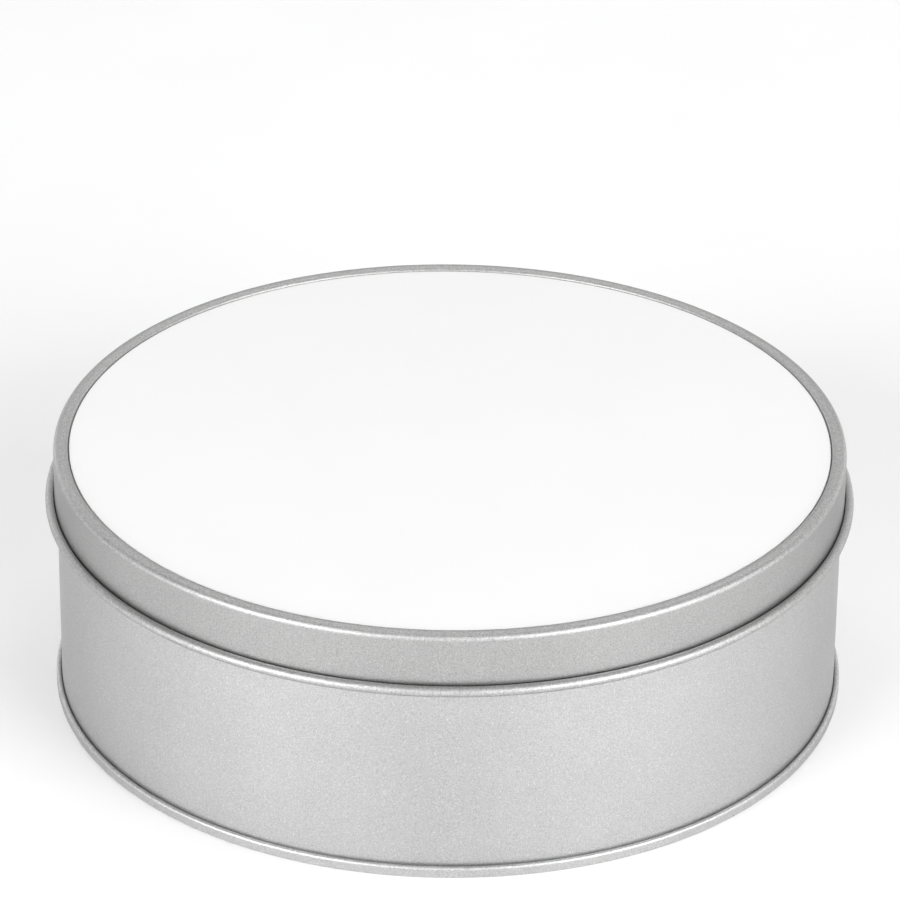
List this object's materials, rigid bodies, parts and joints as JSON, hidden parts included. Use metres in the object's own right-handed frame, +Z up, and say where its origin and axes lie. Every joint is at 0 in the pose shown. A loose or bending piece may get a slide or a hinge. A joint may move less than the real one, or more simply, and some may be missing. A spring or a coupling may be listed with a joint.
{
  "type": "candle tin",
  "caption": "Round shallow tinplate candle tin with a rolled rim, a seamed base and a slip lid with a white disc set in its top.",
  "frame": {"origin": "centre of the foot, on the surface that the tin stands on", "axes": "+Z up, along the axis of the tin; +Y away from the front; +X to the right"},
  "size_m": [0.1564, 0.1564, 0.0514],
  "materials": {
    "tinplate_body": "satin silver with a fine sandy metallic grain",
    "tinplate_base": "bare tinplate, semi-bright",
    "seam_compound": "matt",
    "tinplate_lid": "satin silver with a fine sandy metallic grain",
    "white_coating": "smooth white satin coating",
    "adhesive": "matt"
  },
  "bodies": {
    "tin": {"body_wall": "tinplate_body", "base_end": "tinplate_base", "seam_compound": "seam_compound"},
    "lid": {"lid_shell": "tinplate_lid", "lid_insert": "white_coating", "insert_adhesive": "adhesive"}
  },
  "joints": [
    {"name": "lid_lift", "type": "slide", "parent": "tin", "child": "lid", "axis": [0, 0, 1], "range_m": [0, 0.051]}
  ]
}
